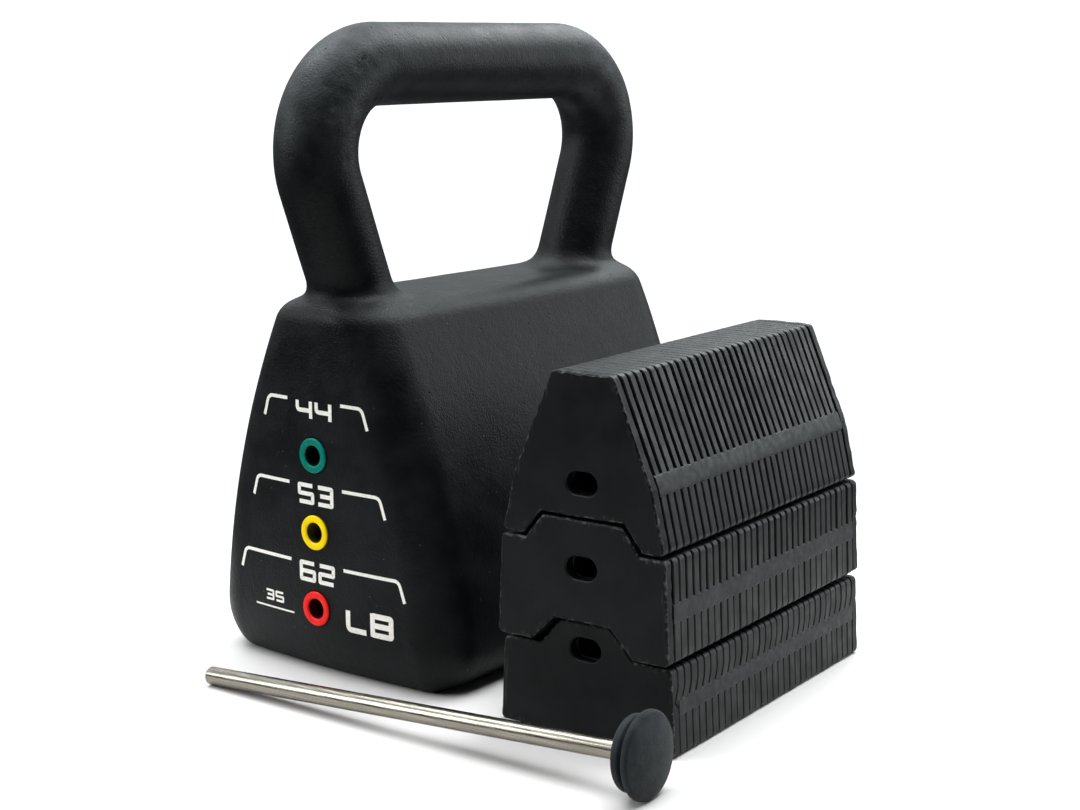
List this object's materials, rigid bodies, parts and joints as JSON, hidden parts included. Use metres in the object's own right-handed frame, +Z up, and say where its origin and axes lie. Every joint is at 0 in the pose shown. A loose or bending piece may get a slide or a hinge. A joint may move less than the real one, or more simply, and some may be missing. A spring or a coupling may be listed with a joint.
{
  "type": "adjustable kettlebell",
  "caption": "Hollow cast kettlebell shell with a thick round handle, its nested laminated steel weight stacks and the selector pin that locks them in, laid out apart.",
  "frame": {"origin": "on the floor under the middle of the whole laid-out group", "axes": "+Z up; the numbered end of the shell and the front plates of the stacks face -Y; the stack tower stands at +X of the shell"},
  "size_m": [0.2672, 0.2772, 0.2841],
  "materials": {
    "cast_shell": "satin black powder coat over a fine cast grain",
    "stack_steel": "matte black paint on laser-cut steel sheet, worn at the edges",
    "seam_steel": "matte black paint over a smooth seam",
    "green_plastic": "satin moulded plastic",
    "yellow_plastic": "satin moulded plastic",
    "red_plastic": "satin moulded plastic",
    "rod_steel": "bright drawn stainless bar",
    "magnet_steel": "plated ring magnet",
    "knob_rubber": "matte blue-grey rubber",
    "white_print": "warm white screen print on the shell"
  },
  "bodies": {
    "bottom_stack": {"bottom_stack_front_plate": "stack_steel", "bottom_stack_sheets": "stack_steel", "bottom_stack_rear_plate": "stack_steel", "bottom_stack_left_seam": "seam_steel", "bottom_stack_right_seam": "seam_steel"},
    "middle_stack": {"middle_stack_front_plate": "stack_steel", "middle_stack_sheets": "stack_steel", "middle_stack_rear_plate": "stack_steel", "middle_stack_left_seam": "seam_steel", "middle_stack_right_seam": "seam_steel"},
    "top_stack": {"top_stack_front_plate": "stack_steel", "top_stack_sheets": "stack_steel", "top_stack_rear_plate": "stack_steel", "top_stack_left_seam": "seam_steel", "top_stack_right_seam": "seam_steel"},
    "shell": {"shell_casting": "cast_shell", "lower_pin_bushing": "red_plastic", "middle_pin_bushing": "yellow_plastic", "upper_pin_bushing": "green_plastic"},
    "pin": {"pin_rod": "rod_steel", "knob_magnet": "magnet_steel", "knob_inner_disc": "knob_rubber", "knob_outer_disc": "knob_rubber"}
  },
  "joints": [
    {"name": "middle_stack_lift", "type": "slide", "parent": "bottom_stack", "child": "middle_stack", "axis": [0, 0, 1], "range_m": [0, 0.06]},
    {"name": "top_stack_lift", "type": "slide", "parent": "middle_stack", "child": "top_stack", "axis": [0, 0, 1], "range_m": [0, 0.06]},
    {"name": "shell_lift", "type": "slide", "parent": "bottom_stack", "child": "shell", "axis": [0, 0, 1], "range_m": [0, 0.155]},
    {"name": "pin_slide", "type": "slide", "parent": "bottom_stack", "child": "pin", "axis": [0.9982, 0.0087, 0.0594], "range_m": [0, 0.216]}
  ]
}
